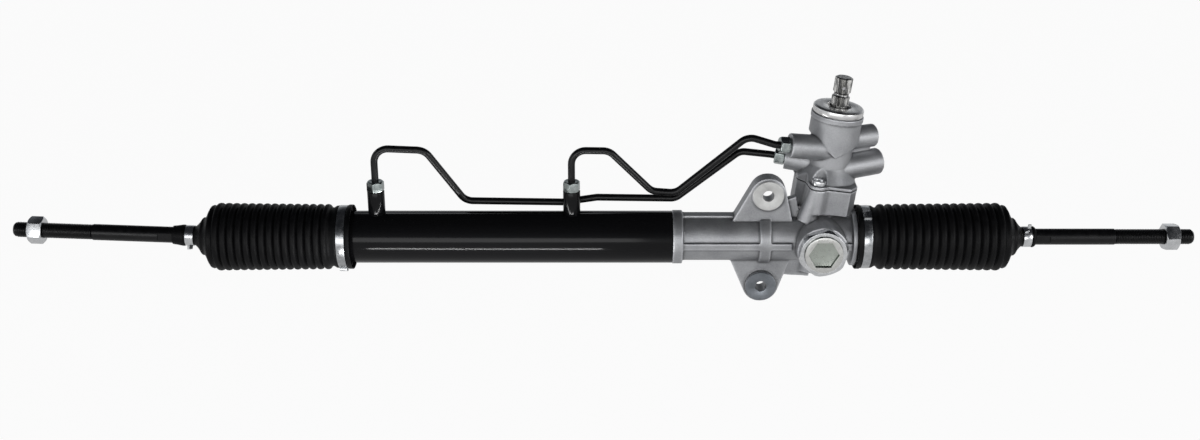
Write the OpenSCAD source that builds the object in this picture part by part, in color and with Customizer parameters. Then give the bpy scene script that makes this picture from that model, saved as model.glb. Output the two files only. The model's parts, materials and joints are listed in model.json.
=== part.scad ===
// Hydraulic rack-and-pinion steering gear for a small car, with its tie rods.
// All sizes are millimetres. X runs along the rack, Z is up and the fluid pipes are above the
// cylinder. The origin lies on the mounting face, midway between the two bolt holes.

/* [Rack and pinion] */
// How far the rack moves each way from the middle of its stroke
rack_travel = 70; // [62:1:75]
// Diameter of the rack bar
rack_d = 26; // [25:0.5:27]
// Module of the rack and pinion teeth
tooth_module = 1.85; // [1.8:0.01:1.9]
// Number of pinion teeth
pinion_teeth = 8; // [8:1:9]
// Distance from the mounting bolts to the pinion
pinion_x = 50; // [48:1:54]
// Angle by which the pinion leans along the rack
tower_lean = 7; // [4:0.5:9]
// Length of the pinion's toothed part
pinion_face = 28; // [24:1:29]

/* [Cylinder] */
// Outside diameter of the cylinder tube
tube_d = 48; // [47:0.5:49]
// Wall thickness of the cylinder tube
tube_wall = 3; // [2.5:0.1:3.4]
// Width of the piston
piston_w = 18; // [14:1:22]
// Free cylinder between the piston at full stroke and the middle of a port
port_clear = 10; // [8:0.5:13]
// Distance from the tube's open end to the middle of the nearer port
port_inset = 41; // [39:1:46]
// Distance from the second port to the gear housing
tube_lead = 92; // [88:1:98]

/* [Gear housing] */
// Diameter of the housing's barrel
barrel_d = 43; // [42:0.5:45]
// Length of the barrel between the mounting bolts and its collar
barrel_len = 75; // [68:1:80]
// Width of the collar against the tube
collar_w = 9; // [7:0.5:11]
// Distance from the mounting bolts to the housing's open end
open_end_x = 102; // [100:1:106]
// Distance of each mounting bolt above or below the rack
bolt_z = 44; // [43:0.5:46]
// Sideways step between the upper and the lower mounting bolt, each side of the middle
bolt_step = 2; // [0:0.5:4]
// Diameter of the mounting bolt holes
bolt_hole_d = 11; // [10:0.5:12]
// Outside radius of a mounting ear
ear_r = 16.5; // [15.5:0.5:17.5]
// Thickness of a mounting ear
ear_t = 15; // [12:0.5:16]
// Distance from the mounting face to the rack's centreline
rack_offset = 5; // [4:0.5:6]

/* [Valve] */
// Height of the joint between the gear housing and the valve body
joint_h = 50; // [49.5:0.5:51]
// Height of the valve body above that joint
valve_h = 65; // [64:0.5:68]
// Radius of the valve body's upper barrel
valve_r = 23; // [22:0.5:24]
// Thickness of the cover on the valve body
cover_t = 6.2; // [5:0.2:8]
// Length of the splined end above the cover
spline_len = 27; // [26:1:34]
// Outside diameter of the spline
spline_d = 16; // [15.6:0.1:16.6]
// Number of spline teeth
spline_teeth = 36; // [30:1:40]

/* [Tie rods] */
// Length from the ball centre to the tip of a tie rod
rod_len = 193; // [185:1:215]
// Diameter of the tie rod's shank
rod_d = 14.8; // [14.6:0.1:15.2]
// Nominal diameter of the tie rod's thread
thread_d = 14; // [12:0.5:14.2]
// Length of the thread
thread_len = 72; // [60:1:80]
// Radius of the ball
ball_r = 12.5; // [12.3:0.1:12.8]
// Distance from the tip of the thread to the lock nut
nut_setback = 14; // [10:1:30]
// Angle at which the left tie rod stands above the rack's line at rest
left_rod_lift = 2.2; // [0:0.1:3]

/* [Bellows] */
// Outside diameter over the folds
bellows_d = 62; // [60:0.5:64]
// Depth of a fold
fold_depth = 3.8; // [3:0.1:5]
// Number of folds
folds = 15; // [14:1:16]
// Thickness of the rubber
rubber_t = 1.6; // [1.2:0.1:2]

/* [Fluid pipes] */
// Outside diameter of a fluid pipe
pipe_d = 6.5; // [6:0.1:6.8]
// Wall thickness of a fluid pipe
pipe_wall = 0.9; // [0.7:0.1:1.1]
// Height of the pipes' upper runs above the rack
pipe_top_z = 84; // [80:1:88]
// Radius of the pipe bends
pipe_bend_r = 13; // [12:1:14]

/* [Hidden] */
$fn = 64;
cut = 0.5;                       // overrun of cutting shapes
run_fit = 0.05;                  // radial running clearance
seat_gap = 0.1;                  // gap at stacked faces

// Rack, pinion and their mesh
rack_r = rack_d / 2;
pitch = PI * tooth_module;       // across the teeth
pitch_x = pitch / cos(tower_lean); // along the rack
pitch_r = tooth_module * pinion_teeth / 2;
press_angle = 20;
shift = 0.55;                    // profile shift, in modules
backlash = 0.12;
tip_add = 0.8;                   // pinion addendum beyond the shift, in modules
rack_tip_y = 9.5 + (rack_r - 13); // flat on which the rack teeth end
datum_y = rack_tip_y - tooth_module;
pinion_y = datum_y + pitch_r + shift * tooth_module;
pinion_tip_r = pitch_r + (shift + tip_add) * tooth_module;
pinion_root_r = pinion_y - rack_tip_y - 0.35;
gap_depth = tooth_module + tip_add * tooth_module + 0.4;
mesh_half = 17;                  // toothed length needed either side of the pinion
tooth_gaps = 2 * floor((rack_travel + mesh_half) / pitch_x) + 1;

// Places along the rack
collar_x0 = -(barrel_len + collar_w);
tube_r = tube_d / 2;
bore_r = tube_r - tube_wall;
port_span = 2 * (rack_travel + piston_w / 2 + port_clear);
tube_len = port_inset + port_span + tube_lead;
tube_x0 = collar_x0 - tube_len;
port_left_x = tube_x0 + port_inset;
port_right_x = port_left_x + port_span;
piston_x = (port_left_x + port_right_x) / 2;
rack_mid_x = (tube_x0 + open_end_x) / 2;
end_reach = (open_end_x - tube_x0) / 2; // from the middle to either end of the casing
stop_gap = 7.5;                  // left between socket and casing at full stroke
socket_back = 22;                // from the ball centre to the socket's shoulder
washer_t = 1.5;
ball_reach = end_reach + rack_travel + stop_gap + socket_back;
rack_half = ball_reach - socket_back - washer_t;
ball_left = [rack_mid_x - ball_reach, 0, 0];
ball_right = [rack_mid_x + ball_reach, 0, 0];

// Housing
barrel_r = barrel_d / 2;
barrel_bore_r = rack_r + 3.5;
collar_r = tube_r + 0.6;
seal_room = 23;
spigot_x0 = pinion_x - 2 * rack_travel - mesh_half - seal_room;
spigot_bore_r = rack_r + 2;
seal_r = bore_r - 2;
seal_w = 8;
ear_front = -10;                 // front face of the ears, from the rack's centreline
boss_front = [1, 3.5];           // how far the bosses stand in front of the ears
boss_r = ear_r - 2.2;
cuff_len = 19;
end_flange_w = 4;
rib_w = 10;
yoke_r = rack_r + 2;
yoke_bore_r = yoke_r + run_fit;
plug_r = yoke_r + 2;
yoke_boss_r = plug_r + 6;
yoke_boss_front = -36;
yoke_nut_w = 6.1;
plug_front = -44.3;
plug_back = -26;
liner_t = 0.6;
spring_room_r = 9;
spring_sink = 2.7;               // depth of the spring's seat in the plug
spring_in_yoke = 7.5;            // and in the yoke

// Tower, with heights measured along its own axis from the rack's centreline
block_half = 27;
block_back = 21;
block_h = joint_h - 23.5;        // height at which the block's front face begins
panel_v = -27.8;                 // the front face, from the tower's axis
panel_u = [-1, 20];
lower_r = 17.5;
lower_h = -37;
cap_r = 13.5;
cap_h = -31;
gear_bore_r = pinion_tip_r + 1.6;
bearing_h = joint_h - 30;
bearing_w = 10;
bearing_r = 17.5;
wall_r = bearing_r + 4;
shaft_seal_w = 5;
tower_bore_r = bearing_r + 0.5;
bolt_circle_r = 26.6;
bolt_angles = [-112, 77];
lobe_r = 8.5;
lobe_slant = 10;                 // how much more than the tower the front bolt's boss leans
flange_t = 3;
gasket_t = 0.5;
flange_top = joint_h + gasket_t + flange_t;
bolt_r = 4;
bolt_head_r = 6.4;
bolt_head_t = 4.6;
valve_top = joint_h + valve_h;
valve_bore_r = 16;
neck_r = 19.5;
flare_h = 14;                    // height over which the neck widens to the flange
head_h = valve_top - 36;
journal_r = 8.5;
upper_bore_r = 14;
upper_bore_h = valve_top - 17;
cover_top = valve_top + 0.8 + cover_t;
sleeve_in_r = 10;
shaft_end = joint_h - 2;         // top of the pinion's own shaft
sleeve_h = [shaft_end - 7, shaft_end + 46];
bar_r = 3.5;
bar_room_r = 4.6;

// Ports of the valve body, drilled along sloping bosses
// height, heading seen from above, rise, length, boss radius, hole radius, sideways offset
cyl_port_up = [joint_h + 34, 189, 0, 41, 11.3, 5, -9];
cyl_port_low = [joint_h + 15.5, 170, 0, 39.5, 11, 5, 0];
feed_port = [joint_h + 38.6, 25, 5, 43.6, 10.6, 7, 0];
return_port = [joint_h + 13.2, 25, 7, 52.4, 12.2, 8, -8];
ports = [cyl_port_up, cyl_port_low, feed_port, return_port];
port_depth = 14;
drill_r = 3;
nut_af = 14;
nut_grip = 9.5;                  // length of a pipe nut outside its seat
nut_thread_r = 5;
boss_top_z = 45;
port_boss_r = 7.8;

// Pieces that repeat left and right
cone_len = 21;                   // bellows' cone between the folds and the small cuff
cuff_small_r = rod_d / 2 + 1.3;
lip_r = cuff_small_r + 1.1;
// small cuffs: from the ball centre to the clamp's middle, and the length of the lip
cuff_left = [32, 12];
cuff_right = [40, 4.2];
clamp_w = 7.4;
clamp_t = 0.8;
large_seat_r = tube_r + 4.2;

// Frames: the rack's centreline, the tower's axis, and each tie rod's own line
module on_rack() translate([0, -rack_offset, 0]) children();

module on_tower() on_rack() translate([pinion_x, pinion_y, 0]) rotate([0, tower_lean, 0]) children();

// Left and right pieces are drawn pointing to +X from the ball centre
module on_left_rod() on_rack() translate(ball_left) rotate([0, 180 + left_rod_lift, 0]) children();

module on_right_rod() on_rack() translate(ball_right) children();

module on_left_socket() on_rack() translate(ball_left) rotate([0, 180, 0]) children();

// Solids along the axes
module x_rod(x0, x1, r) translate([x0, 0, 0]) rotate([0, 90, 0]) cylinder(h = x1 - x0, r = r);

module y_rod(y0, y1, r) translate([0, y0, 0]) rotate([-90, 0, 0]) cylinder(h = y1 - y0, r = r);

module z_rod(z0, z1, r) translate([0, 0, z0]) cylinder(h = z1 - z0, r = r);

module x_ring(x0, x1, r_out, r_in) difference() {
    x_rod(x0, x1, r_out);
    x_rod(x0 - cut, x1 + cut, r_in);
}

module z_ring(z0, z1, r_out, r_in) difference() {
    z_rod(z0, z1, r_out);
    z_rod(z0 - cut, z1 + cut, r_in);
}

// A profile of [radius, x] points turned about the X axis
module turned_x(profile) rotate([0, 90, 0]) rotate_extrude() polygon(profile);

// A hexagonal bar of the given width across its flats
module hex_bar(h, af) cylinder(h = h, r = af / 2 / cos(30), $fn = 6);

// A flat outline drawn in X and Z, as thick as y0 to y1
module slab(y0, y1) translate([0, y1, 0]) rotate([90, 0, 0]) linear_extrude(y1 - y0) children();

function unit(v) = v / norm(v);

// Where a line from a point touches a circle; side is 1 or -1
function touch(from, centre, r, side) =
    let (d = centre - from, l = norm(d), a = atan2(d[1], d[0]) + side * asin(r / l))
    from + sqrt(l * l - r * r) * [cos(a), sin(a)];

// A hub and round lobes joined by their outer tangents
module lobed(hub_r, tip_r, reach, angles) {
    lean = acos((hub_r - tip_r) / reach);
    circle(hub_r);
    for (a = angles) rotate(a) {
        translate([reach, 0]) circle(tip_r);
        polygon([
            hub_r * [cos(lean), sin(lean)],
            hub_r * [cos(lean), -sin(lean)],
            [reach, 0] + tip_r * [cos(lean), -sin(lean)],
            [reach, 0] + tip_r * [cos(lean), sin(lean)]
        ]);
    }
}

// A tube of 12 sides swept through points
function tangents(p) = [for (i = [0:len(p) - 1])
    unit(p[min(i + 1, len(p) - 1)] - p[max(i - 1, 0)])];

function carried(t, i, last) = i >= len(t) ? [] :
    let (n = unit(last - (last * t[i]) * t[i])) concat([n], carried(t, i + 1, n));

function rings(p, r, sides) =
    let (t = tangents(p), n = carried(t, 0, unit(cross(t[0], [0.2, 1, 0.1]))))
    [for (i = [0:len(p) - 1], k = [0:sides - 1])
        let (a = 360 * k / sides) p[i] + r * (cos(a) * n[i] + sin(a) * cross(t[i], n[i]))];

module swept(p, r, wall) {
    sides = 12;
    m = len(p);
    count = m * sides;
    function at(ring, k) = ring * sides + (k % sides);
    walls = [for (i = [0:m - 2], k = [0:sides - 1])
        [at(i, k), at(i, k + 1), at(i + 1, k + 1), at(i + 1, k)]];
    inside = [for (f = walls) [count + f[3], count + f[2], count + f[1], count + f[0]]];
    first = [for (k = [0:sides - 1])
        [at(0, k + 1), at(0, k), count + at(0, k), count + at(0, k + 1)]];
    last = [for (k = [0:sides - 1])
        [at(m - 1, k), at(m - 1, k + 1), count + at(m - 1, k + 1), count + at(m - 1, k)]];
    polyhedron(concat(rings(p, r, sides), rings(p, r - wall, sides)),
               concat(walls, inside, first, last));
}

// Points around one bend of radius r at corner b, between a and c
function bend(a, b, c, r, steps) =
    let (
        u = unit(a - b), w = unit(c - b), half = acos(u * w) / 2,
        middle = b + unit(u + w) * (r / sin(half)),
        v0 = b + u * (r / tan(half)) - middle, v1 = b + w * (r / tan(half)) - middle,
        turn = 180 - 2 * half
    )
    [for (i = [0:steps]) let (s = i / steps)
        middle + (sin((1 - s) * turn) * v0 + sin(s * turn) * v1) / sin(turn)];

function route(corners, r) = concat(
    [corners[0]],
    [for (i = [1:len(corners) - 2]) each bend(corners[i - 1], corners[i], corners[i + 1], r, 7)],
    [corners[len(corners) - 1]]);

// Valve ports in the rack's frame
function port_dir(p) =
    let (t = [cos(p[1]) * cos(p[2]), sin(p[1]) * cos(p[2]), sin(p[2])])
    [cos(tower_lean) * t[0] + sin(tower_lean) * t[2], t[1],
     cos(tower_lean) * t[2] - sin(tower_lean) * t[0]];

function port_start(p) =
    [pinion_x + sin(tower_lean) * p[0], pinion_y + p[6], cos(tower_lean) * p[0]];

function port_point(p, l) = port_start(p) + l * port_dir(p);

module on_port(p) translate([0, p[6], p[0]]) rotate([0, 90 - p[2], p[1]]) children();

// The flat-sided outline that the block and the valve body's flange share
module block_outline() {
    polygon([
        [-block_half, -6], [-block_half / 2, -20], [panel_u[0], panel_v], [panel_u[1], panel_v],
        [block_half, -18], [block_half, 9], [16, block_back], [-16, block_back], [-block_half, 12]]);
    lobed(tower_bore_r + 3, lobe_r, bolt_circle_r, bolt_angles);
}

// Gear housing
module ear(sign, foot_left, foot_right) {
    centre = [sign * bolt_step, sign * bolt_z];
    base = sign * (barrel_r - 8);
    left = [foot_left, base];
    right = [foot_right, base];
    slab(ear_front, ear_front + ear_t) {
        translate(centre) circle(ear_r);
        polygon([left, touch(left, centre, ear_r, sign), centre, touch(right, centre, ear_r, -sign),
                 right]);
    }
}

module ear_boss(sign, stand) translate([sign * bolt_step, 0, sign * bolt_z])
    y_rod(ear_front - stand, ear_front + 1, boss_r);

module housing_shape() {
    x_rod(collar_x0 + 1, open_end_x - cuff_len + 1, barrel_r);
    x_rod(collar_x0, collar_x0 + collar_w, collar_r);
    x_rod(spigot_x0, collar_x0 + 2, bore_r - run_fit);
    x_rod(open_end_x - cuff_len - end_flange_w, open_end_x - cuff_len, tube_r + 2.4);
    x_rod(open_end_x - cuff_len - 1, open_end_x, tube_r - 0.1);
    ear(1, -33, 26);
    ear(-1, -33, 26);
    ear_boss(1, boss_front[0]);
    ear_boss(-1, boss_front[1]);
    x_rod(-rib_w / 2, rib_w / 2, barrel_r + 1.9);
    // ribs along the barrel: one on top in the plane of the ears, one along the front
    translate([collar_x0 + collar_w - 1, -6, 0]) cube([barrel_len + 1, 10, barrel_r + 1.6]);
    translate([collar_x0 + collar_w - 1, -barrel_r - 1.7, -4.3])
        cube([barrel_len + 25, 8, 6.6]);
    translate([pinion_x + 10, -barrel_r - 1.7, -4.3])
        cube([open_end_x - cuff_len - pinion_x - 11, 8, 6.6]);
    // webs between the ears and the tower
    slab(-4, 4) polygon([[10, 12], [14, bolt_z - 8], [28, bolt_z - 3], [34, 12]]);
    slab(3, 12) polygon([[6, -12], [13, -39], [44, -41], [48, -12]]);
    translate([pinion_x, 0, 0]) y_rod(yoke_boss_front, 4, yoke_boss_r);
    // small cast pads above the yoke
    for (p = [[2, 38], [8, 13]]) translate([pinion_x + p[0], 0, 0]) rotate([p[1], 0, 0])
        cylinder(h = barrel_r + 1.6, r = 2.3);
    translate([pinion_x, pinion_y, 0]) rotate([0, tower_lean, 0]) {
        translate([0, 0, block_h]) linear_extrude(joint_h - block_h) block_outline();
        z_rod(10, block_h + 1, wall_r);
        z_rod(lower_h, 12, lower_r);
        // the front bolt's boss slants away below the joint
        difference() {
            rotate(bolt_angles[0]) translate([bolt_circle_r, 0, joint_h]) rotate(-bolt_angles[0])
                rotate([0, lobe_slant, 0]) translate([0, 0, -33]) cylinder(h = 35, r = lobe_r - 0.3);
            translate([-36, -45, joint_h - 1]) cube([72, 90, 9]);
        }
        rotate(bolt_angles[1]) translate([bolt_circle_r, 0, joint_h - 26])
            cylinder(h = 25.5, r = lobe_r - 0.4);
    }
}

module gear_housing() color([0.62, 0.63, 0.65]) on_rack() difference() {
    housing_shape();
    x_rod(spigot_x0 + seal_w + 4, open_end_x + cut, spigot_bore_r);
    x_rod(collar_x0 + 4, open_end_x + cut, barrel_bore_r);
    x_rod(spigot_x0 + seal_w - cut, spigot_x0 + seal_w + 5, rack_r + 0.6);
    x_rod(spigot_x0 - cut, spigot_x0 + seal_w, seal_r);
    for (s = [-1, 1]) translate([s * bolt_step, 0, s * bolt_z])
        y_rod(ear_front - 6, ear_front + ear_t + cut, bolt_hole_d / 2);
    translate([pinion_x, 0, 0]) {
        y_rod(yoke_boss_front - cut, plug_back + 0.3, plug_r + run_fit);
        y_rod(plug_back, 0, yoke_bore_r);
    }
    translate([pinion_x, pinion_y, 0]) rotate([0, tower_lean, 0]) {
        z_rod(lower_h - cut, cap_h, cap_r + run_fit);
        z_rod(cap_h - cut, bearing_h, gear_bore_r);
        z_rod(bearing_h, bearing_h + bearing_w + 1, bearing_r + 0.02);
        z_rod(bearing_h + bearing_w, joint_h + cut, tower_bore_r);
        for (a = bolt_angles) rotate(a) translate([bolt_circle_r, 0, joint_h - 22])
            cylinder(h = 22 + cut, r = bolt_r + run_fit);
    }
}

// Cylinder tube and the bosses welded to it
module cylinder_tube() color([0.05, 0.05, 0.06]) on_rack() difference() {
    x_rod(tube_x0, collar_x0 - seat_gap, tube_r);
    x_rod(tube_x0 - cut, collar_x0 + cut, bore_r);
    for (x = [port_left_x, port_right_x]) translate([x, 0, 0]) z_rod(0, tube_r + 1, 2.5);
}

module port_boss(x) color([0.06, 0.06, 0.07]) on_rack() translate([x, 0, 0]) difference() {
    z_rod(tube_r - 3, boss_top_z, port_boss_r);
    translate([-x, 0, 0]) x_rod(x - 12, x + 12, tube_r + 0.02);
    z_rod(tube_r - 4, tube_r + 8, 2.5);
    z_rod(tube_r + 7, boss_top_z + cut, nut_thread_r + run_fit);
}

module port_boss_left() port_boss(port_left_x);

module port_boss_right() port_boss(port_right_x);

// Valve body with its four ports
module valve_body() color([0.66, 0.67, 0.69]) on_tower() difference() {
    union() {
        translate([0, 0, joint_h + gasket_t]) linear_extrude(flange_t) block_outline();
        z_rod(joint_h - 5, joint_h + 2, tower_bore_r - run_fit);
        z_rod(joint_h + 1, valve_top - 10, neck_r);
        intersection() {
            translate([0, 0, flange_top - 0.5]) cylinder(h = flare_h, r1 = neck_r + 8, r2 = neck_r - 0.1);
            translate([0, 0, joint_h + 1]) linear_extrude(flare_h + 8) block_outline();
        }
        // the upper barrel ends in a shallow V above the bosses
        difference() {
            z_rod(head_h, valve_top - 4, valve_r);
            for (edge = [[-30, 22], [30, 16]]) slab(-valve_r - 2, valve_r + 2)
                polygon([[0.9, head_h], [edge[0], head_h - 1], [edge[0], head_h + edge[1]]]);
        }
        translate([0, cyl_port_up[6], cyl_port_up[0]]) sphere(r = cyl_port_up[4] - 0.05);
        z_rod(valve_top - 5, valve_top, valve_r + 0.7);
        for (p = ports) on_port(p) cylinder(h = p[3], r = p[4]);
        // web between the two bosses on the right
        rotate(feed_port[1]) translate([0, -7, return_port[0] + 4])
            cube([feed_port[3] - 5, 8, feed_port[0] - return_port[0] - 2]);
        // wall that carries the two bosses on the left
        translate([-block_half - 2, 3, flange_top - 1]) cube([block_half, 9, cyl_port_low[0] - flange_top]);
    }
    z_rod(joint_h - 6, upper_bore_h, valve_bore_r);
    z_rod(upper_bore_h - cut, valve_top + cut, upper_bore_r);
    for (p = ports) on_port(p) {
        translate([0, 0, p[3] - port_depth]) cylinder(h = port_depth + cut, r = p[5] + run_fit);
        translate([0, 0, 6]) cylinder(h = p[3] - port_depth, r = drill_r);
    }
    for (a = bolt_angles) rotate(a) translate([bolt_circle_r, 0, joint_h - 1])
        cylinder(h = flange_t + 4, r = bolt_r + 0.4);
    for (a = bolt_angles) rotate(a) translate([bolt_circle_r, 0, flange_top - 0.4])
        cylinder(h = flare_h + 2, r = bolt_head_r + 0.6);
}

module valve_body_bolts() color([0.75, 0.75, 0.77]) on_tower()
    for (a = bolt_angles) rotate(a) translate([bolt_circle_r, 0, flange_top - 0.35]) {
        difference() {
            cylinder(h = bolt_head_t, r = bolt_head_r);
            translate([0, 0, bolt_head_t - 3]) hex_bar(4, 6);
        }
        translate([0, 0, -24]) cylinder(h = 24.5, r = bolt_r);
    }

module valve_body_gasket() color([0.1, 0.1, 0.1]) on_tower() difference() {
    translate([0, 0, joint_h + 0.02]) linear_extrude(gasket_t - 0.04) block_outline();
    z_rod(joint_h - 1, joint_h + 1, tower_bore_r + 0.1);
    for (a = bolt_angles) rotate(a) translate([bolt_circle_r, 0, joint_h - 1])
        cylinder(h = 3, r = bolt_r + 0.4);
}

module valve_cover() color([0.72, 0.71, 0.7]) on_tower() difference() {
    union() {
        z_rod(valve_top + 0.02, valve_top + 1.2, valve_r - 1.8);
        z_rod(valve_top + 0.8, cover_top - 1.4, valve_r - 0.2);
        translate([0, 0, cover_top - 1.41]) cylinder(h = 1.41, r1 = valve_r - 0.2, r2 = valve_r - 1.6);
    }
    z_rod(valve_top - 1, cover_top + cut, journal_r + 0.5);
    z_rod(cover_top - 3.4, cover_top + cut, journal_r + 2.6);
}

// Shaft, torsion bar and valve sleeve
module spline_outline(r_tip, r_root, teeth) polygon([for (i = [0:2 * teeth - 1])
    let (a = 180 * i / teeth, r = i % 2 == 0 ? r_tip : r_root) r * [cos(a), sin(a)]]);

module input_shaft() color([0.55, 0.53, 0.5]) on_tower() difference() {
    union() {
        z_rod(shaft_end + 0.6, sleeve_h[1] - 1, sleeve_in_r - run_fit);
        z_rod(sleeve_h[1] - 2, upper_bore_h + 0.2, sleeve_in_r - 0.6);
        z_rod(upper_bore_h, cover_top + 1.5, journal_r);
        translate([0, 0, cover_top + 1]) linear_extrude(spline_len - 1.8)
            spline_outline(spline_d / 2, spline_d / 2 - 0.75, spline_teeth);
        translate([0, 0, cover_top + spline_len - 0.81])
            cylinder(h = 0.8, r1 = spline_d / 2 - 0.75, r2 = spline_d / 2 - 1.5);
    }
    // groove for the pinch bolt of the column joint
    translate([0, 0, cover_top + spline_len * 0.42]) rotate_extrude()
        translate([spline_d / 2 + 1.2, 0]) circle(2.6);
    z_rod(shaft_end, cover_top + spline_len - 14, bar_room_r);
    z_rod(cover_top + spline_len - 15, cover_top + spline_len - 3, bar_r + 0.02);
    translate([0, 0, cover_top + spline_len - 9]) rotate([90, 0, 0])
        cylinder(h = spline_d + 4, r = 1.52, center = true);
}

module torsion_bar() color([0.5, 0.5, 0.52]) on_tower() difference() {
    z_rod(bearing_h + 6, cover_top + spline_len - 3.2, bar_r);
    translate([0, 0, cover_top + spline_len - 9]) rotate([90, 0, 0])
        cylinder(h = spline_d, r = 1.52, center = true);
    z_ring(shaft_end + 4, cover_top + spline_len - 16, bar_r + 1, bar_r - 0.8);
}

module torsion_bar_pin() color([0.5, 0.5, 0.5]) on_tower()
    translate([0, 0, cover_top + spline_len - 9]) rotate([90, 0, 0])
        cylinder(h = spline_d - 2.4, r = 1.5, center = true);

module input_shaft_seal() color([0.12, 0.12, 0.12]) on_tower()
    z_ring(valve_top - 6.5, valve_top - 0.4, upper_bore_r - 0.02, journal_r + 0.03);

module input_shaft_bearing() color([0.7, 0.7, 0.72]) on_tower() {
    z_ring(upper_bore_h + 0.4, upper_bore_h + 9.6, upper_bore_r - 0.02, upper_bore_r - 1.5);
    needle_r = (upper_bore_r - 1.5 - journal_r) / 2 - 0.03;
    for (i = [0:13]) rotate(i * 360 / 14) translate([journal_r + needle_r + 0.03, 0, upper_bore_h + 1])
        cylinder(h = 8, r = needle_r, $fn = 24);
}

ring_heights = [for (i = [0:3]) sleeve_h[0] + 8 + i * (sleeve_h[1] - sleeve_h[0] - 14) / 3];

module valve_sleeve() color([0.6, 0.6, 0.62]) on_tower() difference() {
    z_rod(sleeve_h[0], sleeve_h[1], valve_bore_r - 0.06);
    z_rod(sleeve_h[0] - cut, sleeve_h[1] + cut, sleeve_in_r);
    for (h = ring_heights) z_ring(h - 1.1, h + 1.1, valve_bore_r + 1, valve_bore_r - 1.6);
    for (i = [0:2]) translate([0, 0, (ring_heights[i] + ring_heights[i + 1]) / 2]) {
        z_ring(-2.2, 2.2, valve_bore_r + 1, valve_bore_r - 1.2);
        for (a = [0, 120, 240]) rotate([0, 90, a + 30 * i]) cylinder(h = valve_bore_r + 2, r = 1.3);
    }
}

module sleeve_rings() color([0.2, 0.14, 0.1]) on_tower()
    for (h = ring_heights) z_ring(h - 1, h + 1, valve_bore_r - 0.02, valve_bore_r - 1.5);

// Pinion: involute teeth with a raised profile, so that few teeth still mesh
base_r = pitch_r * cos(press_angle);
function inv(a) = tan(a) * 180 / PI - a;
half_at_pitch = 90 / pinion_teeth
    + (2 * shift * tan(press_angle) - backlash / tooth_module) * 90 / PI / pinion_teeth * 2;
function half_at(r) = half_at_pitch + inv(press_angle) - inv(acos(min(1, base_r / r)));
flank_steps = 10;
flank_r = [for (i = [0:flank_steps]) max(base_r, pinion_root_r)
    + (pinion_tip_r - max(base_r, pinion_root_r)) * i / flank_steps];

module pinion_outline() polygon([for (t = [0:pinion_teeth - 1])
    let (mid = 360 * t / pinion_teeth - 90, foot = half_at(flank_r[0]))
    each concat(
        [pinion_root_r * [cos(mid - foot), sin(mid - foot)]],
        [for (r = flank_r) r * [cos(mid - half_at(r)), sin(mid - half_at(r))]],
        [for (i = [flank_steps:-1:0]) let (r = flank_r[i])
            r * [cos(mid + half_at(r)), sin(mid + half_at(r))]],
        [pinion_root_r * [cos(mid + foot), sin(mid + foot)]])]);

module pinion() color([0.5, 0.5, 0.52]) on_tower() difference() {
    union() {
        translate([0, 0, -pinion_face / 2]) linear_extrude(pinion_face) pinion_outline();
        z_rod(cap_h + 0.8, -pinion_face / 2 + 0.5, pinion_root_r - 0.4);
        z_rod(pinion_face / 2 - 0.5, shaft_end - 4, journal_r - 0.1);
        z_rod(bearing_h - 4, bearing_h - 0.1, journal_r + 1.6);
        z_rod(bearing_h + bearing_w + shaft_seal_w + 1.8, shaft_end, sleeve_in_r - 0.02);
    }
    z_rod(bearing_h + 4, shaft_end + 1, bar_r + 0.02);
}

module pinion_bearing_outer() color([0.7, 0.7, 0.72]) on_tower() difference() {
    z_ring(bearing_h + 0.05, bearing_h + bearing_w - 0.05, bearing_r, bearing_r - 3);
    translate([0, 0, bearing_h + bearing_w / 2]) rotate_extrude()
        translate([(bearing_r + journal_r) / 2, 0]) circle(3.1);
}

module pinion_bearing_balls() color([0.8, 0.8, 0.82]) on_tower()
    for (i = [0:10]) rotate(i * 360 / 11)
        translate([(bearing_r + journal_r) / 2, 0, bearing_h + bearing_w / 2]) sphere(r = 3, $fn = 32);

module pinion_bearing_inner() color([0.7, 0.7, 0.72]) on_tower() difference() {
    z_ring(bearing_h + 0.05, bearing_h + bearing_w - 0.05, journal_r + 2.9, journal_r - 0.08);
    translate([0, 0, bearing_h + bearing_w / 2]) rotate_extrude()
        translate([(bearing_r + journal_r) / 2, 0]) circle(3.1);
}

module pinion_seal() color([0.15, 0.15, 0.15]) on_tower()
    z_ring(bearing_h + bearing_w + 1.1, bearing_h + bearing_w + 1.1 + shaft_seal_w - 0.6,
           tower_bore_r - 0.02, journal_r - 0.05);

module pinion_lower_bush() color([0.7, 0.5, 0.3]) on_tower()
    z_ring(cap_h + 6.4, -pinion_face / 2 - 1.4, gear_bore_r - 0.02, pinion_root_r - 0.4 + 0.04);

module pinion_nut() color([0.6, 0.6, 0.62]) on_tower() translate([0, 0, cap_h + 1]) difference() {
    hex_bar(5, 15);
    translate([0, 0, -1]) cylinder(h = 7, r = pinion_root_r - 0.38);
}

module pinion_end_cap() color([0.6, 0.6, 0.6]) on_tower() difference() {
    z_rod(lower_h + 0.4, cap_h - 0.05, cap_r);
    translate([0, 0, lower_h]) hex_bar(3.4, 17);
}

// Rack, piston and the seals in the cylinder
module rack_gap() {
    half = pitch / 4 + backlash / 2;
    deep = gap_depth - tooth_module;
    lean = tan(press_angle);
    linear_extrude(2 * rack_r + 6, center = true) polygon([
        [-half - lean * (tooth_module + 6), datum_y + tooth_module + 6],
        [-half + lean * deep, datum_y - deep],
        [half - lean * deep, datum_y - deep],
        [half + lean * (tooth_module + 6), datum_y + tooth_module + 6]]);
}

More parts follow.
